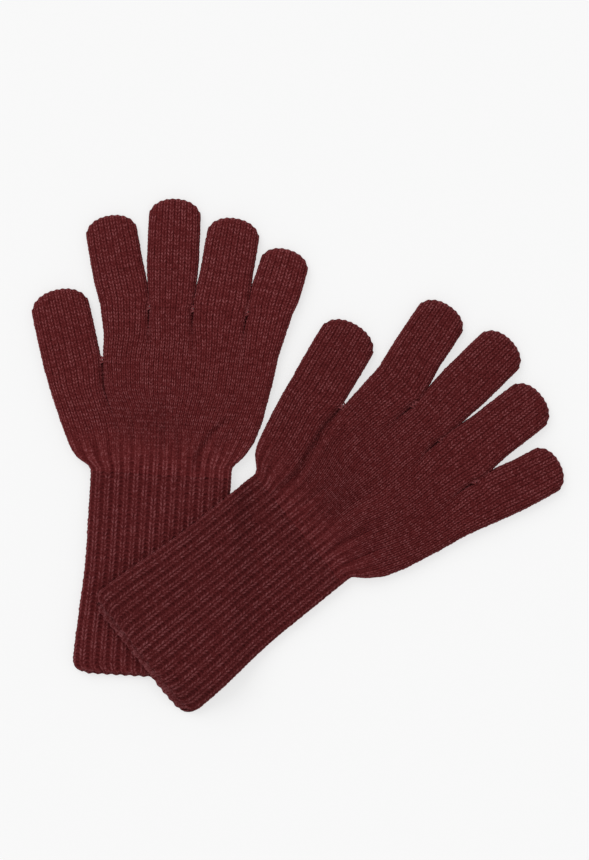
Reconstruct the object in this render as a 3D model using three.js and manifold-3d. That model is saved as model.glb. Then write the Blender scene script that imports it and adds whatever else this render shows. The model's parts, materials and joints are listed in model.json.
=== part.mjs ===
// A pair of knitted gloves with long ribbed cuffs, lying flat with one cuff across the other.
//
// Millimetres. X runs right, Y away, Z up, and Z = 0 is the surface that the gloves lie on.
// Each glove is drawn flat in its own frame: "across" runs from the thumb side to the little
// finger side, "along" runs from the cuff to the fingertips, and the wrist is at along = 0.
// A glove is one flattened knitted tube that branches into five smaller ones. It is divided
// where it folds, at the wrist and at the root and the middle of every digit.

import * as THREE from "three";
import { mergeVertices } from "three/addons/utils/BufferGeometryUtils.js";
import Module from "manifold-3d";

const wasm = await Module();
wasm.setup();

// The knitted tube
const THICKNESS = 7.6;            // both layers and the slack between them
const WALL = 1.5;                 // one layer of knit
const FOLD_GAP = 0.6;             // space between two stretches of tube at a fold
const EDGE_STEPS = 4;             // facets from a tube's side edge to its flat faces
const OPEN_END = 1;               // how far the hollow is cut past an open end

// The cuff
const CUFF_LENGTH = 115;
const CUFF_HALF_WIDTH = 39.8;
const HEM_HALF_WIDTH = 43.6;
const FLARE_LENGTH = 46;          // the stretch above the hem where the ribs spread
const HEM_CORNER = 6;             // radius of the hem's two corners

// The hand, as [along, across] down each side
const FINGER_LINE = 92;           // the level of the crotches between the fingers
const THUMB_SIDE = [[0, -40.3], [5.5, -49.3], [22, -58], [49.2, -68.4], [58.6, -37.4], [74, -37.4], [92, -41]];
const LITTLE_SIDE = [[0, 39.8], [10, 45.8], [24, 53], [54, 60], [92, 68.4]];
const HAND_ROWS = [3, 6, 11, 17, 24, 34, 44, 49.2, 58.6, 66, 74, 84];
const HOLLOW_ROWS = [3, 6, 11, 17, 24, 34, 42, 47.7, 57.1, 66, 74, 84];

// The thumb leaves the hand along a slanted line through its own crotch
const THUMB_ROOT = { across: -53, along: 54.4, tilt: THREE.MathUtils.degToRad(17) };
const THUMB_OVERLAP = 16;         // how far its tube is drawn down inside the hand

// The digits: the tube's centre and half width at its root, the length of its lower half,
// and the centre and radius of its round tip. A thumb's are in the thumb's own tilted frame.
const ROOT_SPREAD = 20;           // distance over which a finger reaches its full width
const FINGERS = {
  index: { centre: -26.9, half: 13.9, fold: 26, radius: 14.6 },
  middle: { centre: -0.15, half: 11.9, fold: 28, radius: 14.4 },
  ring: { centre: 27.55, half: 14.8, fold: 27, radius: 14.4 },
  little: { centre: 55.7, half: 12.3, fold: 20, radius: 13.4 },
};
const THUMB = { centre: 0, half: 16.2, fold: 19, radius: 16.2 };

// Where each glove lies, and how its digits spread
const LOWER_GLOVE = {
  name: "glove_a",
  wrist: [-76.3, -7.6],
  turn: THREE.MathUtils.degToRad(-3.4),
  tips: { index: [-35, 127.7], middle: [-1, 139], ring: [31.8, 129.1], little: [61.6, 115.3], thumb: [0.6, 28.8] },
  wool: "#53201f",
};
const UPPER_GLOVE = {
  name: "glove_b",
  wrist: [3.1, -39.3],
  turn: THREE.MathUtils.degToRad(-51),
  tips: { index: [-39.6, 128], middle: [-5.6, 142.1], ring: [28, 135.3], little: [61.4, 120.6], thumb: [-2.4, 27.4] },
  wool: "#4e1e20",
};

// The upper cuff lies on the lower one and slopes down to the table beside it
const CUFF_CLEARANCE = 0.4;
const SLOPE_LENGTH = 11;          // the slope's run beside the lower glove's wrist
const SLOPE_SPREAD = 0.16;        // added run for each millimetre further down its cuff
const HEM_SLOPE_LENGTH = 22;      // the slope's run past the lower hem

const { smoothstep, lerp } = THREE.MathUtils;

// The side line through [along, across] points, straight between them, read at any place
function readLine(points, along) {
  let i = 0;
  while (i < points.length - 2 && points[i + 1][0] < along) i++;
  const [from, to] = [points[i], points[i + 1]];
  const t = THREE.MathUtils.clamp((along - from[0]) / (to[0] - from[0]), 0, 1);
  return lerp(from[1], to[1], t);
}

// A closed solid drawn through rows. Each row is a flat loop with round side edges.
// Its lower half and its upper half meet in one point at each side.
function tubeSolid(rows, spans, place) {
  const positions = [];
  const halfCount = 2 * EDGE_STEPS + spans;
  for (const row of rows) {
    const edge = Math.min(row.rise, 0.49 * (row.right - row.left));
    const steps = [];
    for (let k = 0; k <= halfCount; k++) {
      const fromEnd = Math.min(k, halfCount - k, EDGE_STEPS);
      const angle = (fromEnd / EDGE_STEPS) * (Math.PI / 2);
      const inward = edge * (1 - Math.cos(angle));
      const flat = row.right - row.left - 2 * edge;
      const across = fromEnd === EDGE_STEPS
        ? row.left + edge + (flat * (k - EDGE_STEPS)) / spans
        : k < EDGE_STEPS ? row.left + inward : row.right - inward;
      steps.push({ across, rise: row.rise * Math.sin(angle) });
    }
    const middle = THICKNESS / 2;
    for (let k = 0; k <= halfCount; k++) {
      positions.push(...place(steps[k].across, row.along, middle - steps[k].rise));
    }
    for (let k = halfCount - 1; k > 0; k--) {
      positions.push(...place(steps[k].across, row.along, middle + steps[k].rise));
    }
  }
  const loop = 2 * halfCount;
  const triangles = [];
  for (let i = 0; i < rows.length - 1; i++) {
    for (let k = 0; k < loop; k++) {
      const next = (k + 1) % loop;
      const [p, q] = [i * loop, (i + 1) * loop];
      triangles.push(p + k, q + k, q + next, p + k, q + next, p + next);
    }
  }
  for (const [start, turned] of [[0, false], [(rows.length - 1) * loop, true]]) {
    for (let k = 0; k < halfCount; k++) {
      const [low, lowNext] = [start + k, start + k + 1];
      const [high, highNext] = [k === 0 ? low : start + loop - k, k + 1 === halfCount ? lowNext : start + loop - k - 1];
      if (lowNext !== highNext) triangles.push(...(turned ? [low, highNext, lowNext] : [low, lowNext, highNext]));
      if (low !== high) triangles.push(...(turned ? [low, high, highNext] : [low, highNext, high]));
    }
  }
  return new wasm.Manifold(new wasm.Mesh({
    numProp: 3,
    vertProperties: new Float32Array(positions),
    triVerts: new Uint32Array(triangles),
  }));
}

function meshOf(solid, name, wool) {
  const { numProp, vertProperties, triVerts } = solid.getMesh();
  const positions = new Float32Array((vertProperties.length / numProp) * 3);
  for (let i = 0; i < positions.length / 3; i++) {
    positions.set(vertProperties.subarray(i * numProp, i * numProp + 3), i * 3);
  }
  const geometry = new THREE.BufferGeometry();
  geometry.setAttribute("position", new THREE.BufferAttribute(positions, 3));
  geometry.setIndex(new THREE.BufferAttribute(new Uint32Array(triVerts), 1));
  const material = new THREE.MeshStandardMaterial({ color: wool, roughness: 0.95, metalness: 0 });
  const mesh = new THREE.Mesh(mergeVertices(geometry, 1e-4), material);
  mesh.name = name;
  return mesh;
}

// The cuff: a wide flat sleeve, open at the hem and at the wrist
function cuffRow(along, inset) {
  const flare = smoothstep(-along, CUFF_LENGTH - FLARE_LENGTH, CUFF_LENGTH);
  const fromHem = Math.max(CUFF_LENGTH + along, 0);
  const corner = Math.max(HEM_CORNER - fromHem, 0);
  const rounding = HEM_CORNER - Math.sqrt(HEM_CORNER ** 2 - corner ** 2);
  const half = lerp(CUFF_HALF_WIDTH, HEM_HALF_WIDTH, flare) - rounding - inset;
  return { along, left: -half, right: half, rise: THICKNESS / 2 - inset };
}

function cuffSolid(spans, rowCount, place) {
  const rowsAlong = [0, 0.1, 0.4, 1].map((part) => part * HEM_CORNER - CUFF_LENGTH);
  const firstPlain = HEM_CORNER - CUFF_LENGTH;
  for (let i = 1; i <= rowCount; i++) {
    rowsAlong.push(lerp(firstPlain, -FOLD_GAP / 2, i / rowCount));
  }
  const hollowAlong = [-CUFF_LENGTH - OPEN_END, ...rowsAlong, OPEN_END];
  const outside = tubeSolid(rowsAlong.map((along) => cuffRow(along, 0)), spans, place);
  const hollow = tubeSolid(hollowAlong.map((along) => cuffRow(along, WALL)), spans, place);
  return outside.subtract(hollow);
}

// The hand: the wide tube from the wrist to the finger line, with the thumb's root joined in
function handRow(along, inset) {
  const thumbSide = readLine(THUMB_SIDE, along);
  const slantedSide = readLine(THUMB_SIDE, along + inset);
  const left = (inset > 0 ? Math.max(thumbSide, slantedSide) : thumbSide) + inset;
  return { along, left, right: readLine(LITTLE_SIDE, along) - inset, rise: THICKNESS / 2 - inset };
}

function handSolid(place, placeThumb, thumb) {
  const ends = [FOLD_GAP / 2, FINGER_LINE - FOLD_GAP / 2];
  const outerAlong = [ends[0], ...HAND_ROWS, ends[1]];
  const innerAlong = [-OPEN_END, ends[0], ...HOLLOW_ROWS, ends[1], FINGER_LINE + OPEN_END];
  const palm = tubeSolid(outerAlong.map((along) => handRow(along, 0)), 1, place);
  const palmHollow = tubeSolid(innerAlong.map((along) => handRow(along, WALL)), 1, place);
  const rootRow = (along, inset) => ({ ...digitRow(thumb, 0, 0, inset), along });
  const root = tubeSolid([-THUMB_OVERLAP, -FOLD_GAP / 2].map((along) => rootRow(along, 0)), 1, placeThumb);
  const rootHollow = tubeSolid([-THUMB_OVERLAP, OPEN_END].map((along) => rootRow(along, WALL)), 1, placeThumb);
  return palm.add(root).subtract(palmHollow.add(rootHollow));
}

// A digit's row: it spreads from its root to full width, then closes in a round tip
function digitRow(digit, start, along, inset) {
  const [tipAcross, tipAlong] = digit.tip;
  const centre = lerp(digit.centre, tipAcross, THREE.MathUtils.clamp((along - start) / (tipAlong - start), 0, 1));
  const spread = smoothstep(along - start, 0, ROOT_SPREAD);
  const past = Math.max(along - tipAlong, 0);
  const radius = digit.radius - inset;
  const half = past > 0 ? Math.sqrt(Math.max(radius ** 2 - past ** 2, 0)) : lerp(digit.half, digit.radius, spread) - inset;
  const fullRise = THICKNESS / 2 - inset;
  const fromTip = Math.max(fullRise - (radius - past), 0);
  const rise = Math.sqrt(fullRise ** 2 - fromTip ** 2);
  return { along, left: centre - half, right: centre + half, rise };
}

// The lower half of a digit is open at both ends
function lowerHalf(digit, start, place) {
  const ends = [start + FOLD_GAP / 2, start + digit.fold - FOLD_GAP / 2];
  const rowsAlong = [0, 0.34, 0.67, 1].map((part) => lerp(ends[0], ends[1], part));
  const hollowAlong = [ends[0] - OPEN_END, ...rowsAlong, ends[1] + OPEN_END];
  const outside = tubeSolid(rowsAlong.map((along) => digitRow(digit, start, along, 0)), 1, place);
  const hollow = tubeSolid(hollowAlong.map((along) => digitRow(digit, start, along, WALL)), 1, place);
  return outside.subtract(hollow);
}

// The upper half is open at the middle fold and closed at the tip
function upperHalf(digit, start, place) {
  const first = start + digit.fold + FOLD_GAP / 2;
  const angles = [25, 42, 56, 68, 76, 82].map(THREE.MathUtils.degToRad);
  const rowsFor = (radius, from) => [
    ...from,
    digit.tip[1],
    ...angles.map((angle) => digit.tip[1] + radius * Math.sin(angle)),
  ].filter((along, i, all) => i === 0 || along > all[i - 1] + 0.2);
  const outerAlong = rowsFor(digit.radius, [first]);
  const innerAlong = rowsFor(digit.radius - WALL, [first - OPEN_END, first]);
  const outside = tubeSolid(outerAlong.map((along) => digitRow(digit, start, along, 0)), 1, place);
  const hollow = tubeSolid(innerAlong.map((along) => digitRow(digit, start, along, WALL)), 1, place);
  return outside.subtract(hollow);
}

const flat = (across, along, height) => [across, along, height];

function gloveGroup(glove, cuffSpans, cuffRows, placeCuff) {
  const group = new THREE.Group();
  const placeThumb = (across, along, height) => [
    THUMB_ROOT.across + across * Math.cos(THUMB_ROOT.tilt) - along * Math.sin(THUMB_ROOT.tilt),
    THUMB_ROOT.along + across * Math.sin(THUMB_ROOT.tilt) + along * Math.cos(THUMB_ROOT.tilt),
    height,
  ];
  const addPiece = (solid, part) => group.add(meshOf(solid, `${glove.name}_${part}`, glove.wool));
  const thumb = { ...THUMB, tip: glove.tips.thumb };
  addPiece(cuffSolid(cuffSpans, cuffRows, placeCuff), "cuff");
  addPiece(handSolid(flat, placeThumb, thumb), "hand");
  addPiece(lowerHalf(thumb, 0, placeThumb), "thumb_lower");
  addPiece(upperHalf(thumb, 0, placeThumb), "thumb_tip");
  for (const [name, shape] of Object.entries(FINGERS)) {
    const finger = { ...shape, tip: glove.tips[name] };
    addPiece(lowerHalf(finger, FINGER_LINE, flat), `${name}_lower`);
    addPiece(upperHalf(finger, FINGER_LINE, flat), `${name}_tip`);
  }
  group.position.set(...glove.wrist, 0);
  group.rotation.z = glove.turn;
  group.updateMatrixWorld(true);
  return group;
}

// How high the upper cuff is carried over a point of the lower glove's own frame
function carriedHeight(across, along) {
  const slope = SLOPE_LENGTH + SLOPE_SPREAD * Math.max(-along, 0);
  const beside = smoothstep(across - CUFF_HALF_WIDTH, 0, slope);
  const below = smoothstep(-along - CUFF_LENGTH, 0, HEM_SLOPE_LENGTH);
  return (THICKNESS + CUFF_CLEARANCE) * (1 - beside) * (1 - below);
}

const lowerGlove = gloveGroup(LOWER_GLOVE, 1, 4, flat);

const upperFrame = new THREE.Matrix4().makeRotationZ(UPPER_GLOVE.turn).setPosition(...UPPER_GLOVE.wrist, 0);
const intoLower = lowerGlove.matrixWorld.clone().invert().multiply(upperFrame);
function draped(across, along, height) {
  const below = new THREE.Vector3(across, along, 0).applyMatrix4(intoLower);
  return [across, along, height + carriedHeight(below.x, below.y)];
}
const upperGlove = gloveGroup(UPPER_GLOVE, 12, 14, draped);

// The pair, with its origin on the table under the middle of the whole
const pair = new THREE.Group();
pair.add(lowerGlove, upperGlove);
const extent = new THREE.Box3().setFromObject(pair, true);
pair.position.set(-(extent.min.x + extent.max.x) / 2, -(extent.min.y + extent.max.y) / 2, 0);

export default pair;
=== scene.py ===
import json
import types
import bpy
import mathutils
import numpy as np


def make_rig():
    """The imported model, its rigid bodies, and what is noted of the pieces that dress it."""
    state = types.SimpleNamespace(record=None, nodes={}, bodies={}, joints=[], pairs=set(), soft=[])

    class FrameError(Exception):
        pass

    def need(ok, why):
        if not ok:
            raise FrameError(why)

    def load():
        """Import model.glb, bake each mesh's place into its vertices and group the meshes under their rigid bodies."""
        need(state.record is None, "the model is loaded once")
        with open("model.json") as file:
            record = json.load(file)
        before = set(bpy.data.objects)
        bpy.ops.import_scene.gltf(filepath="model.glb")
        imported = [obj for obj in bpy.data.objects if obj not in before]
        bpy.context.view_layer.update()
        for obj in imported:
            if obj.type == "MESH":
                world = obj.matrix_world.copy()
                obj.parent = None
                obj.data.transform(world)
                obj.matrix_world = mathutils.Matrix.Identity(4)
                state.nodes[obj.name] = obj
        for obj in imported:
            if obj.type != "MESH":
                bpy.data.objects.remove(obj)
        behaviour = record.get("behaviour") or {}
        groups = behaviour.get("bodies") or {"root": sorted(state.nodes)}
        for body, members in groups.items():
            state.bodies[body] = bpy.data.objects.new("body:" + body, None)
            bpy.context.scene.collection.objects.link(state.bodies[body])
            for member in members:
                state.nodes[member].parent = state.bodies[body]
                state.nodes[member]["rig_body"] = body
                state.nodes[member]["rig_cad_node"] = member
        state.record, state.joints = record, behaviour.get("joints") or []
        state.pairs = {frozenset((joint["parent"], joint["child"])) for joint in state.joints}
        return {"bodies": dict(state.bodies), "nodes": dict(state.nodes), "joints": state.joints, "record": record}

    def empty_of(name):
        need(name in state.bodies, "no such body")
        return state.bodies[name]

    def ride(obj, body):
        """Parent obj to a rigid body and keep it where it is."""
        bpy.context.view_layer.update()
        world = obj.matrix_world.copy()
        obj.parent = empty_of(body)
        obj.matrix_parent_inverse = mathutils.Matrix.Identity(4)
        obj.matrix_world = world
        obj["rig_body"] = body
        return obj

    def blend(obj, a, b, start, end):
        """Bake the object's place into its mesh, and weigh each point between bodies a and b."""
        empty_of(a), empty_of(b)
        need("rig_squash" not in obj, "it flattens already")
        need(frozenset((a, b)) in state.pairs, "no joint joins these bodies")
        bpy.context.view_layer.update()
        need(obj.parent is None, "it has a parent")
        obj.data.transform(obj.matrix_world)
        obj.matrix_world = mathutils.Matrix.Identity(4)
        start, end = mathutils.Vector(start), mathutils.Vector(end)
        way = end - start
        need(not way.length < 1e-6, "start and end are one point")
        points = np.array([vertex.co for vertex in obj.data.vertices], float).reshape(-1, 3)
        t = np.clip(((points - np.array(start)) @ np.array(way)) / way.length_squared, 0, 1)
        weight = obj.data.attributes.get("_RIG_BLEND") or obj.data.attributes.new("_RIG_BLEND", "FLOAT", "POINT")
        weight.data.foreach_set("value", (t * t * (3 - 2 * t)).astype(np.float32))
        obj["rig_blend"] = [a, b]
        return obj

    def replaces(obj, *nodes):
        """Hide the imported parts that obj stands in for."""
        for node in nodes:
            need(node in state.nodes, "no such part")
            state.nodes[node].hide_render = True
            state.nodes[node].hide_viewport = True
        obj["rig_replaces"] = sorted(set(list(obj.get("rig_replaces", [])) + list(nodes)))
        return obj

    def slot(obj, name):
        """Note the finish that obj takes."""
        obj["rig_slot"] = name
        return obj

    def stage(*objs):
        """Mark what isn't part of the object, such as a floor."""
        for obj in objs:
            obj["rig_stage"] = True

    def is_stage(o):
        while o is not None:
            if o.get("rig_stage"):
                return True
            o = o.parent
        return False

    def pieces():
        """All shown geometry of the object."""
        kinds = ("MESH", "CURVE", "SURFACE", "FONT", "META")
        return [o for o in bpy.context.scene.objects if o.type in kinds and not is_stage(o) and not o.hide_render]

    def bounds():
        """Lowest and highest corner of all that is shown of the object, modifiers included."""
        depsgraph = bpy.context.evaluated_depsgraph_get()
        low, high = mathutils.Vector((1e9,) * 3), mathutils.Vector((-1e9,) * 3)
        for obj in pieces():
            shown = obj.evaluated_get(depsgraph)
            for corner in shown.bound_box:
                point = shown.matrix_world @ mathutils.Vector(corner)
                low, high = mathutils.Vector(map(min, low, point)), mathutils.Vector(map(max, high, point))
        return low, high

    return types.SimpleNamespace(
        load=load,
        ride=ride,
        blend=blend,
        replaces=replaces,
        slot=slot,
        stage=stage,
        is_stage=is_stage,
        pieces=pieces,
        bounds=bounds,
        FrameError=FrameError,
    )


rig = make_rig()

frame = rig.load()

import json
import math

import bpy
import numpy as np

cad_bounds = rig.bounds()


# ---------------------------------------------------------------------------
# Cuffs: long tubes of one-by-one rib in the same yarn, knitted on to the hand.
# Columns of plain stitches stand up between troughs of purl. The upper cuff lies over the lower
# one and slopes down to the table beside it. The hem is the turned start of the rib.
# ---------------------------------------------------------------------------

MM = 0.001


def smooth(x):
    """Eased step from 0 to 1."""
    x = np.clip(x, 0.0, 1.0)
    return x * x * (3.0 - 2.0 * x)


def mix(a, b, t):
    return a + (b - a) * t


class Glove:
    """One glove laid flat, worked out in its own frame in millimetres.

    "across" runs from the thumb side to the little finger side, "along" from the wrist to the
    fingertips, and "up" from the table. The wrist fold gives its place and the way it is turned."""

    def __init__(self, name):
        self.name = name
        self.seed = {"glove_a": 1.0, "glove_b": 2.0}[name]
        fold = next(j for j in frame["joints"] if j["name"] == name + "_wrist_fold")
        self.wrist = np.array(fold["pos_m"][:2]) / MM
        self.across = np.array(fold["axis"][:2])
        self.along = np.array([-fold["axis"][1], fold["axis"][0]])

    def to_table(self, points):
        """Points of the glove's frame as points on the table, in millimetres."""
        flat = self.wrist + points[..., :1] * self.across + points[..., 1:2] * self.along
        return np.concatenate([flat, points[..., 2:]], axis=-1)

    def from_table(self, flat):
        offset = flat - self.wrist
        return offset @ self.across, offset @ self.along

    def point(self, across, along, up):
        """One point of the glove's frame, in metres."""
        return tuple(float(c) for c in self.to_table(np.array([across, along, up], float)) * MM)


lower_glove = Glove("glove_a")
upper_glove = Glove("glove_b")
gloves = (lower_glove, upper_glove)


# Every piece of knit is a tube pressed flat. Its vertex grid follows the stitches: columns run up
# the wales, and rows follow the slant of the two legs of each V.
ROWS_PER_COURSE = 4
V_SLANT = 1.8             # courses that a V's leg climbs for each wale it crosses
SIDE_HEIGHT = 3.0         # height of a tube's folded side edge over the table
TOP_HEIGHT = 6.9          # height of the upper face
UNDER_HEIGHT = 0.15       # the lower face clears the table by this


def stitch_noise(wale, course, seed):
    """A fixed random number from 0 to 1 for every stitch."""
    value = np.sin(wale * 127.1 + course * 311.7 + seed * 74.7) * 43758.5453
    return value - np.floor(value)


def section(left, right, edge, share):
    """Across position and cover (0 at a side edge, 1 on the flat) for shares of a face's width.

    The face is a flat band with a quarter ellipse down to the side edge at both ends, and the
    shares are even along its surface, as wales are."""
    width = right - left
    edge = np.minimum(edge, 0.499 * width)
    bend = 0.5 * math.pi * np.sqrt(0.5 * (edge ** 2 + (TOP_HEIGHT - SIDE_HEIGHT) ** 2))
    flat = width - 2.0 * edge
    run = share * (2.0 * bend + flat)
    from_end = np.minimum(run, 2.0 * bend + flat - run)
    angle = 0.5 * math.pi * np.clip(from_end / bend, 0.0, 1.0)
    on_bend = from_end < bend
    inward = np.where(on_bend, edge * (1.0 - np.cos(angle)), edge + from_end - bend)
    across = np.where(run < bend + 0.5 * flat, left + inward, right - inward)
    return across, np.where(on_bend, np.sin(angle), 1.0)


def heights(is_front, cover):
    """Up values of a tube's upper and lower faces for their cover."""
    up = SIDE_HEIGHT + (TOP_HEIGHT - SIDE_HEIGHT) * cover
    down = SIDE_HEIGHT - (SIDE_HEIGHT - UNDER_HEIGHT) * np.minimum(1.0, cover * 1.25)
    return np.where(is_front, up, down)


def grid_normals(points):
    """Outward normals of a grid of points whose columns run round a tube."""
    round_tube = np.roll(points, -1, axis=1) - np.roll(points, 1, axis=1)
    normal = np.cross(round_tube, np.gradient(points, axis=0))
    length = np.linalg.norm(normal, axis=-1, keepdims=True)
    return normal / np.maximum(length, 1e-9)


class Weave:
    """The columns round one tube: front face left to right, then back face right to left."""

    def __init__(self, wales, steps):
        front = (np.arange(wales)[:, None] + np.array(steps)).ravel()
        front = np.append(front, float(wales))
        self.wale = np.concatenate([front, front[-2:0:-1]])
        self.is_front = np.arange(self.wale.size) < front.size
        self.partner = (self.wale.size - np.arange(self.wale.size)) % self.wale.size
        self.round = np.where(self.is_front, self.wale, 2.0 * wales - self.wale)
        self.wales = wales
        self.steps = len(steps)

    def stretch(self, row, first, last):
        """The part of a row that goes round the wales from first to last, as a ring of its own."""
        around = self.wale.size
        front = row[self.steps * first:self.steps * last + 1]
        return np.concatenate([front, row[around - self.steps * last + 1:around - self.steps * first]])

    def zigzag(self, courses, slope):
        """The course of every grid point: rows follow the V's and straighten at both ends."""
        rows = np.arange(courses * ROWS_PER_COURSE + 1) / ROWS_PER_COURSE
        near_end = np.clip(np.minimum(rows, courses - rows), 0.0, 1.0)
        return np.clip(rows[:, None] + near_end[:, None] * slope[None, :], 0.0, courses)

    def v_slope(self):
        return V_SLANT * np.abs(self.wale - np.floor(self.wale) - 0.5)


class Parts:
    """The grids that are welded into one mesh."""

    def __init__(self, turn):
        self.turn = turn
        self.count = 0
        self.points = []
        self.relief = []
        self.quads = []
        self.uv = []

    def add_grid(self, points, uv, relief, closed=True, flip=False):
        rows, columns = points.shape[:2]
        index = np.arange(rows * columns).reshape(rows, columns)
        right = np.roll(index, -1, axis=1)
        if not closed:
            index, right = index[:, :-1], index[:, 1:]
        quads = np.stack([index[:-1], right[:-1], right[1:], index[1:]], axis=-1).reshape(-1, 4)
        if flip:
            quads = quads[:, ::-1]
        corners = uv.reshape(-1, 2)[quads]
        low = corners[..., 0] < 0.5 * self.turn
        wrapped = (corners[..., 0].max(axis=1) - corners[..., 0].min(axis=1) > 0.5 * self.turn)[:, None]
        corners[..., 0] += np.where(low & wrapped, self.turn, 0.0)
        self.points.append(points.reshape(-1, 3))
        self.relief.append(relief.reshape(-1))
        self.quads.append(quads + self.count)
        self.uv.append(corners)
        self.count += rows * columns

    def add_cap(self, weave, row, relief, flip=False):
        """Closes a tube's end, where the two layers of knit lie on each other."""
        front = np.flatnonzero(weave.is_front)
        strip = np.stack([row[front], row[weave.partner[front]]])
        shade = np.stack([relief[front], relief[weave.partner[front]]])
        uv = np.zeros(strip.shape[:2] + (2,))
        self.add_grid(strip, uv, 0.3 * shade, closed=False, flip=flip)


def make_piece(name, glove, parts, material):
    """One mesh object from the collected grids, in metres, with its faces welded."""
    points = glove.to_table(np.concatenate(parts.points)) * MM
    quads = np.concatenate(parts.quads).astype(np.int32)
    uv = np.concatenate(parts.uv).astype(np.float32)
    mesh = bpy.data.meshes.new(name)
    mesh.vertices.add(len(points))
    mesh.vertices.foreach_set("co", points.astype(np.float32).ravel())
    mesh.loops.add(quads.size)
    mesh.loops.foreach_set("vertex_index", quads.ravel())
    mesh.polygons.add(len(quads))
    mesh.polygons.foreach_set("loop_start", np.arange(0, quads.size, 4, dtype=np.int32))
    mesh.uv_layers.new(name="stitches").data.foreach_set("uv", uv.ravel())
    attribute = mesh.attributes.new("relief", "FLOAT", "POINT")
    attribute.data.foreach_set("value", np.concatenate(parts.relief).astype(np.float32))
    mesh.update(calc_edges=True)
    piece = bpy.data.objects.new(name, mesh)
    bpy.context.scene.collection.objects.link(piece)
    bpy.ops.object.select_all(action="DESELECT")
    bpy.context.view_layer.objects.active = piece
    piece.select_set(True)
    bpy.ops.object.mode_set(mode="EDIT")
    bpy.ops.mesh.select_all(action="SELECT")
    bpy.ops.mesh.remove_doubles(threshold=2e-6)
    bpy.ops.mesh.dissolve_degenerate(threshold=1e-7)
    bpy.ops.object.mode_set(mode="OBJECT")
    bpy.ops.object.shade_smooth_by_angle(angle=math.radians(80))
    mesh.materials.append(material)
    piece.select_set(False)
    return piece


WAVES = [                 # radians per millimetre, heading and phase of each slow wave
    (0.145, 0.6, 0.9), (0.21, 2.1, 2.6), (0.17, 4.0, 4.4),
    (0.29, 5.2, 0.3), (0.36, 1.3, 3.7), (0.43, 3.1, 5.5),
]


def loose_waves(table_points, seed):
    """Slow ups and downs of a layer that lies loosely, about -1 to 1."""
    total = np.zeros(table_points.shape[:-1])
    for number, (rate, heading, phase) in enumerate(WAVES):
        turned = heading + seed
        x = table_points[..., 0] * math.cos(turned) + table_points[..., 1] * math.sin(turned)
        total += np.sin(rate * x + phase + 1.7 * seed) / (1.0 + 0.5 * number)
    return total / 2.2


WAVE_HEIGHT = 0.5         # how high and low the loose upper face lies
CARRIED = 7.5             # how high the lower cuff carries the upper glove
SLOPE_LENGTH = 11.0       # the upper glove slopes down over this beside the lower cuff
SLOPE_SPREAD = 0.16       # and over this much more for each millimetre towards the hem
HEM_SLOPE_LENGTH = 22.0   # and over this past the lower glove's hem
CUFF_LENGTH = 115.0
CUFF_HALF_WIDTH = 40.3    # at the wrist


def carried_height(table_points):
    """How high the upper glove is carried where it lies over the lower cuff."""
    across, along = lower_glove.from_table(table_points[..., :2])
    slope = SLOPE_LENGTH + SLOPE_SPREAD * np.maximum(-along, 0.0)
    beside = smooth((across - CUFF_HALF_WIDTH) / slope)
    below = smooth((-along - CUFF_LENGTH) / HEM_SLOPE_LENGTH)
    return CARRIED * (1.0 - beside) * (1.0 - below)


def lay_down(glove, base, is_front):
    """Adds the loose waves of the upper face, and the carried height of the upper glove."""
    table = glove.to_table(base)
    cover = np.clip((base[..., 2] - SIDE_HEIGHT) / (TOP_HEIGHT - SIDE_HEIGHT), 0.0, 1.0)
    lift = np.where(is_front, WAVE_HEIGHT * cover * loose_waves(table, glove.seed), 0.0)
    if glove is upper_glove:
        lift = lift + carried_height(table)
    return base + lift[..., None] * np.array([0.0, 0.0, 1.0])


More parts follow.
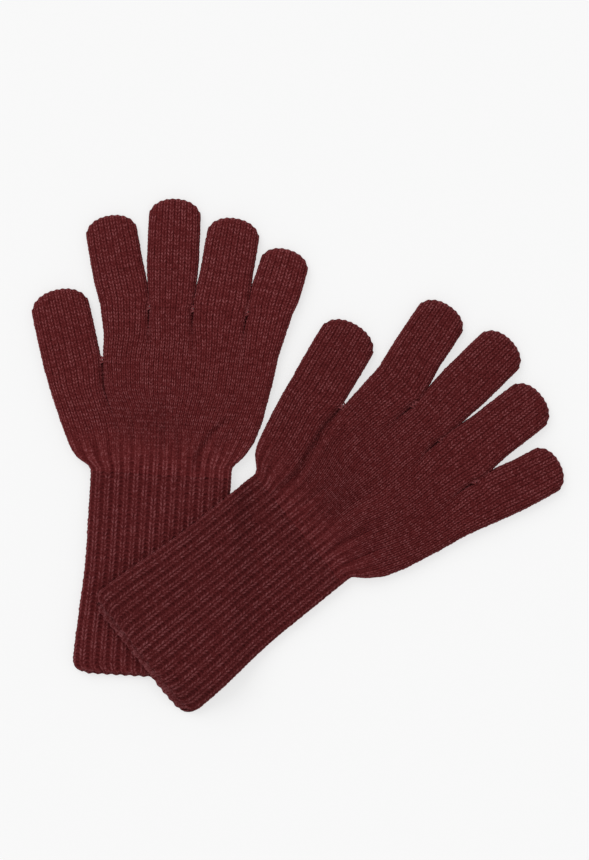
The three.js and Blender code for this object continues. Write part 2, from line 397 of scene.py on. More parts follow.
def yarn_material(name, dark, middle, light):
    material = bpy.data.materials.new(name)
    material.use_nodes = True
    nodes, links = material.node_tree.nodes, material.node_tree.links
    shader = nodes["Principled BSDF"]
    shader.inputs["Roughness"].default_value = 0.95
    shader.inputs["Specular IOR Level"].default_value = 0.1
    shader.inputs["Sheen Weight"].default_value = 0.5
    shader.inputs["Sheen Roughness"].default_value = 0.3
    shader.inputs["Sheen Tint"].default_value = (0.9, 0.22, 0.25, 1.0)

    place = nodes.new("ShaderNodeTexCoord")
    relief = nodes.new("ShaderNodeAttribute")
    relief.attribute_name = "relief"

    fibre = nodes.new("ShaderNodeTexNoise")
    fibre.inputs["Scale"].default_value = 1350.0
    fibre.inputs["Detail"].default_value = 3.0
    fibre.inputs["Roughness"].default_value = 0.6
    links.new(place.outputs["Object"], fibre.inputs["Vector"])

    patch = nodes.new("ShaderNodeTexNoise")
    patch.inputs["Scale"].default_value = 330.0
    patch.inputs["Detail"].default_value = 2.0
    links.new(place.outputs["Object"], patch.inputs["Vector"])

    fluff = nodes.new("ShaderNodeMath")
    fluff.operation = "MULTIPLY"
    fluff.inputs[1].default_value = 2.0
    links.new(fibre.outputs["Fac"], fluff.inputs[0])

    # The relief attribute, 0 in the stitch gaps and 1 on the yarn tops, paints shade into the gaps and a highlight
    # onto the tops; fibre and patch noise add random flecks and blotches.
    shade_and_flecks = nodes.new("ShaderNodeMath")
    shade_and_flecks.operation = "MULTIPLY_ADD"
    shade_and_flecks.inputs[1].default_value = 1.1
    links.new(relief.outputs["Fac"], shade_and_flecks.inputs[0])
    links.new(fluff.outputs["Value"], shade_and_flecks.inputs[2])

    shade_flecks_and_blotches = nodes.new("ShaderNodeMath")
    shade_flecks_and_blotches.operation = "MULTIPLY_ADD"
    shade_flecks_and_blotches.inputs[1].default_value = 0.6
    links.new(patch.outputs["Fac"], shade_flecks_and_blotches.inputs[0])
    links.new(shade_and_flecks.outputs["Value"], shade_flecks_and_blotches.inputs[2])

    tone = nodes.new("ShaderNodeMapRange")
    tone.inputs["From Min"].default_value = 1.12
    tone.inputs["From Max"].default_value = 2.68
    links.new(shade_flecks_and_blotches.outputs["Value"], tone.inputs["Value"])

    ramp = nodes.new("ShaderNodeValToRGB")
    ramp.color_ramp.elements[0].color = (*dark, 1.0)
    ramp.color_ramp.elements[1].color = (*light, 1.0)
    ramp.color_ramp.elements.new(0.5).color = (*middle, 1.0)
    links.new(tone.outputs["Result"], ramp.inputs["Fac"])
    links.new(ramp.outputs["Color"], shader.inputs["Base Color"])

    bump = nodes.new("ShaderNodeBump")
    bump.inputs["Strength"].default_value = 0.6
    bump.inputs["Distance"].default_value = 0.0004
    links.new(fibre.outputs["Fac"], bump.inputs["Height"])
    links.new(bump.outputs["Normal"], shader.inputs["Normal"])
    return material


# Yarn colour ramp: the dark end is painted shade in the stitch gaps with random dark flecks, the middle is the wool's
# own colour, and the light end is a painted highlight on the yarn tops with random light flecks.
GAP_SHADE_WOOL = (0.030, 0.0012, 0.0015)
MIDDLE_WOOL = (0.089, 0.0115, 0.0122)
TOP_HIGHLIGHT_WOOL = (0.235, 0.074, 0.079)
RIB_BRIGHTNESS = {"glove_a": 1.03, "glove_b": 0.88}        # glove_b's yarn is coloured darker than glove_a's


def scaled_yarn(name, brightness):
    wools = (GAP_SHADE_WOOL, MIDDLE_WOOL, TOP_HIGHLIGHT_WOOL)
    return yarn_material(name, *(tuple(brightness * c for c in wool) for wool in wools))


rib_yarn = {name: scaled_yarn("rib_yarn_" + name, brightness) for name, brightness in RIB_BRIGHTNESS.items()}


HEM_HALF_WIDTH = 44.1
FLARE_LENGTH = 70.0       # the cuff widens to its hem over this length
HEM_CORNER = 6.0          # rounding of the hem's two corners
HEM_SCALLOP = 0.6         # how far each rib's end stands out of the hem
RIBS = 16                 # ribs across one face
RIB_SHARE = 0.72          # share of each rib's pitch that stands up
RIB_DEPTH = 1.15          # from the top of a rib to the bottom of the trough
RIB_STEPS = [0.0, 0.09, 0.18, 0.27, 0.36, 0.45, 0.54, 0.63, 0.72, 0.86]
CUFF_COURSES = 49
CUFF_TOP = -3.0           # the cuff's last row lies just short of the wrist fold
BACK_HEM_DROPS = {"glove_a": 1.6, "glove_b": 3.4}   # how far the lower hem shows past the upper
CUFF_EDGE = 4.2           # how far in from the side edge the upper face bends down
LAYER = 1.3               # thickness of one layer of knit under the stitches


def rib_stitches(rib, course, seed):
    """Height of the rib face, from 0 in the troughs to 1 on the yarn of the standing columns."""
    number = np.floor(rib)
    place = rib - number
    side = np.abs(place - 0.5 * RIB_SHARE) / RIB_SHARE
    stand = np.sqrt(np.clip(1.0 - (2.0 * side) ** 4, 0.0, 1.0))
    climb = course - V_SLANT * np.minimum(side, 0.5)
    row = np.floor(climb)
    phase = climb - row
    across_leg = np.clip(1.0 - ((side - 0.25) / 0.26) ** 2, 0.0, 1.0)
    along_leg = np.sin(np.pi * phase) ** 0.8
    uneven = 0.5 + 0.5 * stitch_noise(number, row, seed)
    stitch = across_leg * (0.38 + 0.62 * along_leg) * uneven
    purl = 0.08 + 0.30 * np.sin(np.pi * phase) ** 2
    return np.where(place < RIB_SHARE, purl * (1 - stand) + stand * (0.26 + 0.74 * stitch), purl)


def cuff_face(rib, along, is_front, back_drop):
    """Base points of the cuff for ribs counted from the thumb side."""
    flare = smooth((-along - CUFF_LENGTH + FLARE_LENGTH) / FLARE_LENGTH)
    from_hem = np.maximum(CUFF_LENGTH + along, 0.0)
    corner = np.clip(HEM_CORNER - from_hem, 0.0, HEM_CORNER)
    rounding = HEM_CORNER - np.sqrt(HEM_CORNER ** 2 - corner ** 2)
    half = mix(CUFF_HALF_WIDTH, HEM_HALF_WIDTH, flare) - 0.8 * rounding
    across, cover = section(-half, half, CUFF_EDGE, rib / RIBS)
    hem = smooth((-along - CUFF_LENGTH + 12.0) / 12.0)
    drop = np.where(is_front, 0.0, back_drop * np.minimum(1.0, cover * 1.2)) * hem
    scallop = 0.5 + 0.5 * np.cos(2.0 * math.pi * (rib - 0.5 * RIB_SHARE))
    bulge = HEM_SCALLOP * scallop * np.exp(-from_hem / 1.8)
    up = heights(is_front, cover * (1.0 - 0.30 * hem))
    return np.stack([across, along - drop - bulge, up], axis=-1)


def build_cuff(glove):
    weave = Weave(RIBS, RIB_STEPS)
    place = weave.wale - np.floor(weave.wale)
    side = np.minimum(np.abs(place - 0.5 * RIB_SHARE) / RIB_SHARE, 0.5)
    course = weave.zigzag(CUFF_COURSES, V_SLANT * side)
    along = mix(-CUFF_LENGTH, CUFF_TOP, course / CUFF_COURSES)
    rib = np.broadcast_to(weave.wale, along.shape)
    is_front = np.broadcast_to(weave.is_front, along.shape)
    base = lay_down(glove, cuff_face(rib, along, is_front, BACK_HEM_DROPS[glove.name]), is_front)
    normal = grid_normals(base)
    relief = rib_stitches(rib, course, glove.seed)
    outer = base + normal * (RIB_DEPTH * (relief - 1.0))[..., None]
    inner_rows = np.append(np.arange(0, len(base) - 1, ROWS_PER_COURSE * 2), len(base) - 1)
    inner = base[inner_rows] - normal[inner_rows] * (LAYER + 0.75 * RIB_DEPTH)
    uv = np.stack([np.broadcast_to(weave.round, along.shape), course], axis=-1)
    parts = Parts(2.0 * RIBS)
    parts.add_grid(outer, uv, relief)
    parts.add_grid(inner, uv[inner_rows], np.full(inner.shape[:2], 0.6), flip=True)
    for row, flip in ((0, True), (-1, False)):
        rim = np.stack([outer[row], inner[row]])
        parts.add_grid(rim, np.stack([uv[row], uv[row]]), np.full(rim.shape[:2], 0.85), flip=flip)
    return parts


for glove in gloves:
    piece = make_piece(glove.name + "_rib_cuff", glove, build_cuff(glove), rib_yarn[glove.name])
    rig.ride(piece, glove.name + "_cuff")
    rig.replaces(piece, glove.name + "_cuff")
    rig.slot(piece, "wool_rib")

# ---------------------------------------------------------------------------
# Hands: plain knit from the ribs to the roots of the thumb and fingers, in one piece.
# The heel carries all the wales, and above the thumb's root the palm goes on alone. The ribs fade
# into the plain knit over the first 30 mm, where the rib still gathers it in soft folds.
# ---------------------------------------------------------------------------

COURSE = 2.05             # height of one row of stitches on a digit
WALE_STEPS = [0.0, 0.14, 0.32, 0.5, 0.68, 0.86]     # grid columns in each wale of plain knit
STITCH_RELIEF = 0.85      # depth from the top of the yarn to the gaps
JERSEY_BRIGHTNESS = {"glove_a": 1.22, "glove_b": 1.06}
jersey_yarn = {name: scaled_yarn("jersey_yarn_" + name, brightness) for name, brightness in JERSEY_BRIGHTNESS.items()}


def knit_stitches(wale, course, seed):
    """Height of the plain knit face at (wale, course), from 0 in the gaps to 1 on the yarn."""
    number = np.floor(wale)
    side = np.abs(wale - number - 0.5)
    climb = course - V_SLANT * side
    row = np.floor(climb)
    phase = climb - row
    across_leg = np.clip(1.0 - ((side - 0.23) / 0.27) ** 2, 0.0, 1.0)
    along_leg = np.sin(np.pi * phase) ** 0.8
    uneven = 0.64 + 0.36 * stitch_noise(number, row, seed)
    return across_leg * (0.38 + 0.62 * along_leg) * uneven


def stitched(weave, base, depth, at_tip=0.0):
    """The knit surface: the base sunk by the depth of the stitches.

    Where the two layers meet at the root between two digits, or at a tip, the stitches fade out."""
    thickness = np.abs(base[..., 2] - base[:, weave.partner, 2])
    at_side = np.minimum(weave.wale, weave.wales - weave.wale) < 1.0
    kept = np.maximum(smooth(thickness / 1.3), at_side[None, :] * (1.0 - at_tip))
    return base + grid_normals(base) * (depth * kept)[..., None]


ROOT_LINE = 91.0          # along the glove, where the four fingers leave the palm
ROOT_SETTLE = 15.0        # the rows come square to a digit over this length
DIGIT_EDGE = 4.0          # how far in from its outline a digit bends down
THUMB_WALES = 11
THUMB_FOLD = 19.0         # from the thumb's root to its middle fold
THUMB_HALF_WIDTH = 16.5
THUMB_ROOTS = {
    "glove_a": ((-68.6, 49.5), (-37.3, 59.3)),
    "glove_b": ((-69.6, 49.5), (-38.4, 59.3)),
}
FINGER_ROOTS = {          # side edges of the four fingers on the root line
    "glove_a": [-40.4, -12.6, 12.1, 42.9, 68.5],
    "glove_b": [-43.3, -13.7, 11.1, 41.8, 68.5],
}
FINGERS = [               # name, wales, length to the middle fold, half width
    ("index", 10, 26.0, 14.6), ("middle", 10, 28.0, 14.7),
    ("ring", 10, 27.0, 14.9), ("little", 9, 20.0, 13.8),
]
TIPS = {
    "glove_a": {"thumb": (-60.8, 82.1), "index": (-35.0, 127.2), "middle": (-1.0, 138.4),
                "ring": (31.8, 129.3), "little": (61.0, 114.8)},
    "glove_b": {"thumb": (-63.3, 79.6), "index": (-40.2, 128.6), "middle": (-6.0, 142.7),
                "ring": (27.4, 136.2), "little": (60.9, 121.6)},
}


EDGE_SINK = 0.4           # the stitches at a side edge sink it by about this much
TIP_SHARE = 0.74          # height of a tip's round end as a share of its half width
TIP_POWER = 2.15          # the round end is a little squarer than an ellipse, whose power is 2
TIP_SCALLOP = 0.018       # share by which each wale's end stands out of the round end
SWELL_LENGTH = 25.0       # how far up a finger swells where it presses on the one beside it
SWELLS = {                # and by how much, at its left and its right edge
    "thumb": (0.0, 0.0), "index": (0.0, 1.6), "middle": (0.7, 0.9), "ring": (0.9, 1.0), "little": (1.3, 0.0),
}
PRESSED = {"glove_a": 0.75, "glove_b": 1.1}         # share of the swell on each glove


class Digit:
    """One thumb or finger. A run is a length up its own centre line from the middle of its root."""

    def __init__(self, name, wales, first_wale, left, right, tip, radius, fold, pressed):
        self.name = name
        self.pressed = pressed
        self.wales = wales
        self.first_wale = first_wale
        self.root = 0.5 * (np.array(left) + np.array(right))
        self.radius = radius
        self.fold = fold
        reach = np.array(tip) - self.root
        self.length = float(np.hypot(*reach))
        self.forward = reach / self.length
        self.side = np.array([self.forward[1], -self.forward[0]])
        self.left = (np.array(left) - self.root) @ np.array([self.side, self.forward]).T
        self.right = (np.array(right) - self.root) @ np.array([self.side, self.forward]).T
        self.cap = TIP_SHARE * radius
        self.cap_start = self.length + radius - self.cap
        self.lower_courses = round((fold - 5.0) / COURSE)
        self.courses = math.ceil((self.length + radius + 3.0) / COURSE)

    def past_side(self, course):
        """0 along the straight sides, rising to 1 at the start of the round end."""
        return smooth((course * COURSE - self.cap_start + 4.0) / 4.0)

    def surface(self, wale, course, is_front):
        """Base points for wales from the digit's left edge and courses from its root."""
        run = course * COURSE
        past_side = self.past_side(course)
        widen = smooth(run / (0.6 * self.length))
        left_edge = mix(self.left[0], -self.radius, widen)
        right_edge = mix(self.right[0], self.radius, widen)
        swell = self.pressed * smooth(run / 4.5) * smooth((SWELL_LENGTH - run) / 20.0)
        plump = EDGE_SINK * smooth(run / 2.5) * (1.0 - past_side)
        left_edge = left_edge - swell * SWELLS[self.name][0] - plump
        right_edge = right_edge + swell * SWELLS[self.name][1] + plump
        sideways, _ = section(left_edge, right_edge, DIGIT_EDGE, wale / self.wales)
        level = 1.0 + TIP_SCALLOP * np.cos(2.0 * math.pi * (wale - 0.5))
        off_centre = np.minimum(np.abs(sideways) / self.radius, level) ** TIP_POWER
        end = self.cap_start + self.cap * (level ** TIP_POWER - off_centre) ** (1.0 / TIP_POWER)
        bend = 0.5 * math.pi * math.sqrt(0.5 * (DIGIT_EDGE ** 2 + (TOP_HEIGHT - SIDE_HEIGHT) ** 2))
        into_bend = np.clip((run - end + DIGIT_EDGE) / bend, 0.0, 1.0)
        forward = np.minimum(run, end - DIGIT_EDGE) + DIGIT_EDGE * np.sin(0.5 * math.pi * into_bend)
        to_side = np.minimum(sideways - left_edge, right_edge - sideways)
        past = (np.maximum(forward - self.cap_start, 0.0) / self.cap) ** TIP_POWER
        to_tip = self.cap * (level - (off_centre + past) ** (1.0 / TIP_POWER))
        to_outline = np.where(forward > self.cap_start, np.minimum(to_side, to_tip), to_side)
        inward = np.clip(1.0 - to_outline / DIGIT_EDGE, 0.0, 1.0)
        slant = np.interp(sideways, [self.left[0], self.right[0]], [self.left[1], self.right[1]])
        forward = forward + slant * (1.0 - smooth(run / ROOT_SETTLE))
        flat = self.root + sideways[..., None] * self.side + forward[..., None] * self.forward
        up = heights(is_front, np.sqrt(1.0 - inward ** 2))
        return np.concatenate([flat, up[..., None]], axis=-1)

    def point(self, glove, run):
        """A point on the centre line, in metres."""
        across, along = self.root + run * self.forward
        return glove.point(across, along, SIDE_HEIGHT)


def glove_digits(glove):
    tips = TIPS[glove.name]
    thumb = Digit("thumb", THUMB_WALES, 0, *THUMB_ROOTS[glove.name], tips["thumb"],
                  THUMB_HALF_WIDTH, THUMB_FOLD, 0.0)
    digits = [thumb]
    for number, (name, wales, fold, radius) in enumerate(FINGERS):
        left, right = FINGER_ROOTS[glove.name][number:number + 2]
        first = digits[-1].first_wale + digits[-1].wales
        root = ((left, ROOT_LINE), (right, ROOT_LINE))
        digits.append(Digit(name, wales, first, *root, tips[name], radius, fold, PRESSED[glove.name]))
    return digits


HAND_EDGE = 4.2
BRANCH_LINE = 59.3        # the root between thumb and index finger
HEEL_COURSES = 29
PALM_COURSES = 15
PALM_WALES = 39
RIB_FADE = 30.0
LITTLE_SIDE = [           # (along, across) down the side of the little finger
    (-3, 40.3), (3.5, 40.3), (6.5, 43.8), (10, 46.8), (18, 51.6),
    (30, 55.4), (52, 59.9), (68, 62.4), (91, 68.5),
]
THUMB_SIDE = [            # and down the side of the thumb, to its root
    (-3, -40.3), (-0.6, -40.6), (3, -47.4), (6, -50.4),
    (10, -53), (24, -59.2), (44, -67.2), (60, -72),
]
INDEX_SIDE = {
    "glove_a": [(59.3, -37.3), (74, -37.4), (91, -40.4)],
    "glove_b": [(59.3, -38.4), (74, -40.6), (91, -43.3)],
}
FOLDS = {                 # points down each fold, its depth and its half width
    "glove_a": [
        ([(-17, 30), (-15, 12)], 1.4, 1.8),
        ([(37, 31), (27, 21.7), (20.3, 8.5), (19, -2)], 2.4, 2.0),
        ([(1, 33), (3, 9)], 1.3, 2.2),
        ([(-37, 60), (-34, 40), (-27, 14)], 1.6, 4.5),
        ([(-44, 22), (-34, 4)], 1.2, 2.2),
        ([(9, 24), (10, 6)], 0.9, 1.8),
    ],
    "glove_b": [
        ([(-37.5, 60), (-30.5, 32.4), (-24.6, 17), (-23, -6)], 3.3, 2.2),
        ([(11, 54), (7, 4)], 2.2, 5.0),
        ([(26, 30), (20, 2)], 1.5, 2.2),
        ([(39, 28), (31, 4)], 1.3, 2.2),
        ([(-8, 28), (-9, 2)], 1.2, 2.2),
        ([(-45, 22), (-35, 3)], 1.0, 2.4),
    ],
}


def side_line(points, along):
    """Across position of a side edge, eased over its corners."""
    places, edges = zip(*points)
    shifts = (-1.6, -0.8, 0.0, 0.8, 1.6)
    return sum(np.interp(along + shift, places, edges) for shift in shifts) / len(shifts)


def fold_depth(glove, across, along):
    """How far the folds at the wrist sink the upper face, less the ridge beside each."""
    total = np.zeros_like(along)
    for path, depth, width in FOLDS[glove.name]:
        legs = list(zip(path[:-1], path[1:]))
        nearest = np.full_like(along, 1e6)
        signed = np.zeros_like(along)
        travel = np.zeros_like(along)
        for number, (start, end) in enumerate(legs):
            run = np.array(end, float) - np.array(start, float)
            offset = np.stack([across - start[0], along - start[1]], axis=-1)
            t = np.clip(offset @ run / (run @ run), 0.0, 1.0)
            away = np.hypot(*np.moveaxis(offset - t[..., None] * run, -1, 0))
            hand = np.sign(offset[..., 0] * run[1] - offset[..., 1] * run[0])
            closer = away < nearest
            signed = np.where(closer, -hand * away, signed)
            travel = np.where(closer, (number + t) / len(legs), travel)
            nearest = np.minimum(nearest, away)
        fade = np.sqrt(np.clip(np.sin(math.pi * np.clip(travel, 0.0, 1.0)), 0.0, 1.0))
        sink = depth * np.exp(-((nearest / width) ** 2))
        ridge = 0.35 * depth * np.exp(-(((signed - 2.2 * width) / (1.3 * width)) ** 2))
        total += fade * (sink - ridge)
    return total


def gathered(share, left, right, along):
    """Shares of a face's width just above the ribs, where the middle wales still run on straight
    and the ones beside them have taken all the extra width."""
    away = np.abs(2.0 * share - 1.0)
    reach = np.where(share < 0.5, -left, right)
    bunch = mix(3.4, 1.0, smooth((along - CUFF_TOP) / 50.0))
    from_middle = CUFF_HALF_WIDTH * away + (reach - CUFF_HALF_WIDTH) * away ** bunch
    return (np.sign(share - 0.5) * from_middle - left) / (right - left)


def palm_face(wale, along, is_front, index_side):
    left, right = side_line(index_side, along), side_line(LITTLE_SIDE, along)
    across, cover = section(left, right, HAND_EDGE, wale / PALM_WALES)
    return np.stack([across, along, heights(is_front, cover)], axis=-1)


def first_rows(digits, wale, is_front):
    """Base points of the first rows of several digits that stand side by side."""
    start = digits[0].first_wale
    rows = np.zeros(wale.shape + (3,))
    for digit in digits:
        own = wale - (digit.first_wale - start)
        here = (own >= 0.0) & (own <= digit.wales)
        face = digit.surface(np.clip(own, 0.0, digit.wales), np.zeros_like(own), is_front)
        rows = np.where(here[..., None], face, rows)
    return rows


def plain_depth(glove, wale, course, along, face_wales):
    """Depth and relief of the stitches, from rib at the wrist to plain knit above it."""
    plain = knit_stitches(wale, course, glove.seed + 3.0)
    rib = rib_stitches(wale * RIBS / face_wales, CUFF_COURSES + course, glove.seed)
    fade = smooth((along - CUFF_TOP) / RIB_FADE)
    depth = mix(RIB_DEPTH * (rib - 1.0), STITCH_RELIEF * (plain - 1.0), fade)
    return depth, mix(rib, plain, fade)


def build_hand(glove, digits):
    """The hand's parts, and the last rings that the digits go on from."""
    thumb, fingers = digits[0], digits[1:]
    index_side = INDEX_SIDE[glove.name]
    all_wales = THUMB_WALES + PALM_WALES

    heel = Weave(all_wales, WALE_STEPS)
    course = heel.zigzag(HEEL_COURSES, heel.v_slope())
    share = course / HEEL_COURSES
    wale = np.broadcast_to(heel.wale, course.shape)
    is_front = np.broadcast_to(heel.is_front, course.shape)
    thumb_wale = np.minimum(heel.wale, THUMB_WALES)
    thumb_row = thumb.surface(thumb_wale, np.zeros_like(heel.wale), heel.is_front)
    palm_wale = np.maximum(heel.wale - THUMB_WALES, 0.0)
    palm_row = palm_face(palm_wale, np.full_like(heel.wale, BRANCH_LINE), heel.is_front, index_side)
    end_row = np.where((heel.wale <= THUMB_WALES)[:, None], thumb_row, palm_row)
    along = mix(CUFF_TOP, end_row[None, :, 1], share)
    left, right = side_line(THUMB_SIDE, along), side_line(LITTLE_SIDE, along)
    across, cover = section(left, right, HAND_EDGE, gathered(wale / all_wales, left, right, along))
    end_along = end_row[:, 1]
    end_left, end_right = side_line(THUMB_SIDE, end_along), side_line(LITTLE_SIDE, end_along)
    end_share = gathered(heel.wale / all_wales, end_left, end_right, end_along)
    plain_end, _ = section(end_left, end_right, HAND_EDGE, end_share)
    across = across + smooth(share) * (end_row[:, 0] - plain_end)[None, :]
    up = mix(heights(is_front, cover), end_row[None, :, 2], smooth((share - 0.45) / 0.55))
    sunk = np.where(is_front, fold_depth(glove, across, along) * np.clip(cover, 0.0, 1.0), 0.0)
    up = up - sunk * (1.0 - smooth(8.0 * share - 7.0))
    base = lay_down(glove, np.stack([across, along, up], axis=-1), is_front)
    depth, relief = plain_depth(glove, wale, course, along, all_wales)
    outer = stitched(heel, base, depth)
    parts = Parts(2.0 * all_wales)
    parts.add_grid(outer, np.stack([np.broadcast_to(heel.round, course.shape), course], axis=-1), relief)
    parts.add_cap(heel, outer[0], relief[0], flip=True)

    thumb_weave = Weave(THUMB_WALES, WALE_STEPS)
    thumb_ring = heel.stretch(outer[-1], 0, THUMB_WALES)
    parts.add_cap(thumb_weave, thumb_ring, heel.stretch(relief[-1], 0, THUMB_WALES))
    first_ring = heel.stretch(outer[-1], THUMB_WALES, all_wales)

    palm = Weave(PALM_WALES, WALE_STEPS)
    course = palm.zigzag(PALM_COURSES, palm.v_slope())
    share = course / PALM_COURSES
    wale = np.broadcast_to(palm.wale, course.shape)
    is_front = np.broadcast_to(palm.is_front, course.shape)
    end_row = first_rows(fingers, palm.wale, palm.is_front)
    along = mix(BRANCH_LINE, ROOT_LINE, share)
    face = palm_face(wale, along, is_front, index_side)
    plain_end = palm_face(palm.wale, end_row[:, 1], palm.is_front, index_side)
    across = face[..., 0] + smooth(share) * (end_row[:, 0] - plain_end[:, 0])[None, :]
    up = mix(face[..., 2], end_row[None, :, 2], smooth((share - 0.5) / 0.5))
    base = lay_down(glove, np.stack([across, along, up], axis=-1), is_front)
    course = HEEL_COURSES + course
    depth, relief = plain_depth(glove, wale + THUMB_WALES, course, along, all_wales)
    outer = stitched(palm, base, depth)
    outer[0] = first_ring
    parts.add_grid(outer, np.stack([np.broadcast_to(palm.round, course.shape), course], axis=-1), relief)
    parts.add_cap(palm, outer[-1], relief[-1])

    rings = {"thumb": thumb_ring}
    for finger in fingers:
        start = finger.first_wale - THUMB_WALES
        rings[finger.name] = palm.stretch(outer[-1], start, start + finger.wales)
    return parts, rings


# ---------------------------------------------------------------------------
# Thumbs and fingers: plain tubes knitted on from the hand's last rows, without a seam.
# Each bends at its root and at its middle, so it is made as a lower and a tip piece that share
# a row of stitches. The tip is drawn together in a round end.
# ---------------------------------------------------------------------------


def build_digit(glove, digit, ring, first, last, closed_tip):
    """One stretch of a digit, from its first course to its last, going on from the given ring."""
    weave = Weave(digit.wales, WALE_STEPS)
    course = first + weave.zigzag(last - first, weave.v_slope())
    wale = np.broadcast_to(weave.wale, course.shape)
    is_front = np.broadcast_to(weave.is_front, course.shape)
    base = lay_down(glove, digit.surface(wale, course, is_front), is_front)
    start = HEEL_COURSES + (0 if digit.name == "thumb" else PALM_COURSES)
    relief = knit_stitches(wale + digit.first_wale, course + start, glove.seed + 3.0)
    outer = stitched(weave, base, STITCH_RELIEF * (relief - 1.0), digit.past_side(course))
    outer[0] = ring
    parts = Parts(2.0 * digit.wales)
    parts.add_grid(outer, np.stack([np.broadcast_to(weave.round, course.shape), course], axis=-1), relief)
    parts.add_cap(weave, outer[0], relief[0], flip=True)
    if not closed_tip:
        parts.add_cap(weave, outer[-1], relief[-1])
    return parts, outer[-1]


WRIST_BLEND_END = 15.0    # the hand leaves the cuff by this far above the wrist
ROOT_BLEND = (0.5, 11.5)  # a digit leaves the hand between these lengths from its root
FOLD_BLEND = (-3.5, 6.0)  # and its tip leaves its lower part between these from its middle fold

for glove in gloves:
    digits = glove_digits(glove)
    hand_parts, rings = build_hand(glove, digits)
    material = jersey_yarn[glove.name]
    piece = make_piece(glove.name + "_knit_hand", glove, hand_parts, material)
    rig.blend(piece, glove.name + "_cuff", glove.name + "_hand",
             glove.point(0.0, CUFF_TOP, SIDE_HEIGHT), glove.point(0.0, WRIST_BLEND_END, SIDE_HEIGHT))
    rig.replaces(piece, glove.name + "_hand")
    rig.slot(piece, "wool_jersey")
    for digit in digits:
        lower_body, tip_body = f"{glove.name}_{digit.name}_lower", f"{glove.name}_{digit.name}_tip"
        lower_parts, ring = build_digit(glove, digit, rings[digit.name], 0, digit.lower_courses, False)
        piece = make_piece(lower_body + "_knit", glove, lower_parts, material)
        root_start, root_end = (digit.point(glove, run) for run in ROOT_BLEND)
        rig.blend(piece, glove.name + "_hand", lower_body, root_start, root_end)
        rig.replaces(piece, lower_body)
        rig.slot(piece, "wool_jersey")
        tip_parts, _ = build_digit(glove, digit, ring, digit.lower_courses, digit.courses, True)
        piece = make_piece(tip_body + "_knit", glove, tip_parts, material)
        fold_start, fold_end = (digit.point(glove, digit.fold + run) for run in FOLD_BLEND)
        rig.blend(piece, lower_body, tip_body, fold_start, fold_end)
        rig.replaces(piece, tip_body)
        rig.slot(piece, "wool_jersey")

# ---------------------------------------------------------------------------
# Darning: a few stitches of the same yarn close the small hole at the root between two digits.
# Each is a short length of yarn laid over the hole with a darning needle, caught in both sides.
# ---------------------------------------------------------------------------

DARN_LENGTH = 3.4
DARN_RADIUS = 0.5
DARN_HEIGHT = 4.9
DARN_RELIEF = 0.75        # they take the painted highlight of the tops of the stitches
DARN_STEP = 1.0           # from one stitch to the next, up the root
DARN_SLANT = 0.5          # radians that the stitches lean, to one side and the other in turn


def darning_stitch(glove, across, along, turn, height):
    bpy.ops.mesh.primitive_uv_sphere_add(segments=16, ring_count=10, radius=1.0)
    stitch = bpy.context.active_object
    stitch.scale = (0.5 * DARN_LENGTH * MM, DARN_RADIUS * MM, DARN_RADIUS * MM)
    stitch.rotation_euler = (0.0, 0.0, math.atan2(glove.across[1], glove.across[0]) + turn)
    stitch.location = glove.point(across, along, height)
    bpy.ops.object.transform_apply(location=True, rotation=True, scale=True)
    bpy.ops.object.shade_smooth()
    return stitch


for glove in gloves:
    thumb_root = THUMB_ROOTS[glove.name][1]
    roots = [thumb_root] + [(edge, ROOT_LINE) for edge in FINGER_ROOTS[glove.name][1:4]]
    stitches = []
    for number, (across, along) in enumerate(roots):
        for step in range(4 + number % 2):
            lean = DARN_SLANT * (-1) ** step
            place = along + DARN_STEP * (step - 0.8)
            stitches.append(darning_stitch(glove, across, place, lean, DARN_HEIGHT))
    bpy.ops.object.select_all(action="DESELECT")
    for stitch in stitches:
        stitch.select_set(True)
    bpy.context.view_layer.objects.active = stitches[0]
    bpy.ops.object.join()
    darning = bpy.context.active_object
    darning.name = glove.name + "_darning"
    relief = darning.data.attributes.new("relief", "FLOAT", "POINT")
    relief.data.foreach_set("value", [DARN_RELIEF] * len(darning.data.vertices))
    darning.data.materials.append(jersey_yarn[glove.name])
    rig.ride(darning, glove.name + "_hand")
    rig.slot(darning, "wool_jersey")

# ---------------------------------------------------------------------------
# Table, light and camera: a pale matte table top that glows a little, under one large soft light.
# The camera looks straight down on the pair.
# ---------------------------------------------------------------------------

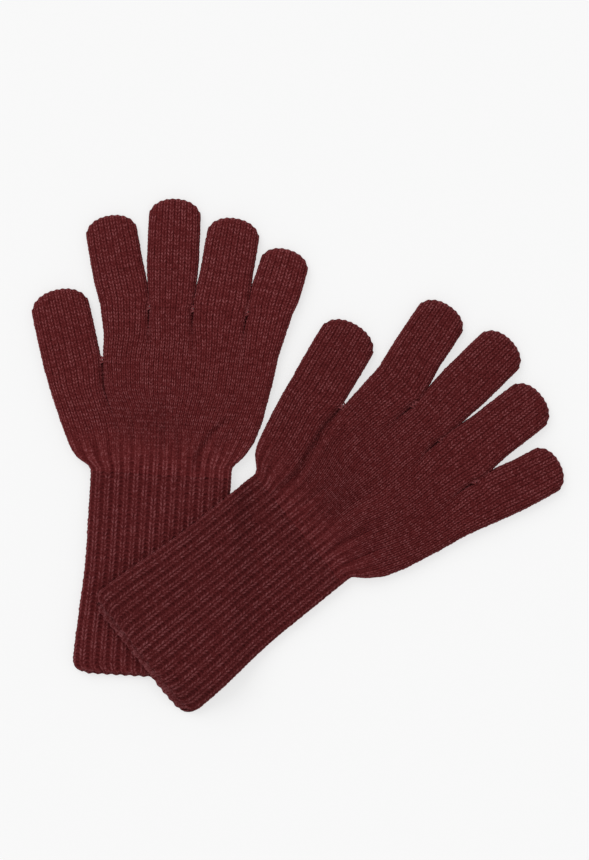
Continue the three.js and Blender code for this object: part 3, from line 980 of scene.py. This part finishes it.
TABLE_SIZE = 6.0          # metres, as are the camera's height and frame
TABLE_GLOW = 0.63
ROOM_LIGHT = 0.80
SOFTBOX_STRENGTH = 1.15
SOFTBOX_SPREAD = 42.0     # degrees, as are its two tilts
SOFTBOX_TILTS = (-38.0, -34.0)
CAMERA_HEIGHT = 1.35
FRAME_HEIGHT = 0.486
SENSOR = 36.0

bpy.ops.mesh.primitive_plane_add(size=TABLE_SIZE, location=(0.0, 0.0, 0.0))
table = bpy.context.active_object
table.name = "pale_table"
table_finish = bpy.data.materials.new("pale_paper")
table_finish.use_nodes = True
table_shader = table_finish.node_tree.nodes["Principled BSDF"]
table_shader.inputs["Base Color"].default_value = (0.3, 0.3, 0.3, 1.0)
table_shader.inputs["Roughness"].default_value = 0.9
table_shader.inputs["Specular IOR Level"].default_value = 0.1
table_shader.inputs["Emission Color"].default_value = (1.0, 1.0, 1.0, 1.0)
table_shader.inputs["Emission Strength"].default_value = TABLE_GLOW
table.data.materials.append(table_finish)
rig.stage(table)

world = bpy.data.worlds.new("studio") if bpy.context.scene.world is None else bpy.context.scene.world
bpy.context.scene.world = world
world.use_nodes = True
world.node_tree.nodes["Background"].inputs["Color"].default_value = (1.0, 1.0, 1.0, 1.0)
world.node_tree.nodes["Background"].inputs["Strength"].default_value = ROOM_LIGHT

bpy.ops.object.light_add(type="SUN", location=(-0.9, 0.7, 1.3))
softbox = bpy.context.active_object
softbox.name = "softbox"
softbox.data.energy = SOFTBOX_STRENGTH
softbox.data.angle = math.radians(SOFTBOX_SPREAD)
softbox.rotation_euler = (math.radians(SOFTBOX_TILTS[0]), math.radians(SOFTBOX_TILTS[1]), 0.0)

bpy.context.scene.view_settings.view_transform = "Standard"

camera_data = bpy.data.cameras.new("camera")
camera = bpy.data.objects.new("camera", camera_data)
bpy.context.scene.collection.objects.link(camera)
camera.location = (-0.0018, 0.0137, CAMERA_HEIGHT)
camera_data.sensor_width = SENSOR
camera_data.lens = SENSOR * CAMERA_HEIGHT / FRAME_HEIGHT
bpy.context.scene.camera = camera

with open("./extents.json", "w") as f:
    json.dump({"cad": [list(c) for c in cad_bounds], "visual": [list(c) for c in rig.bounds()]}, f)
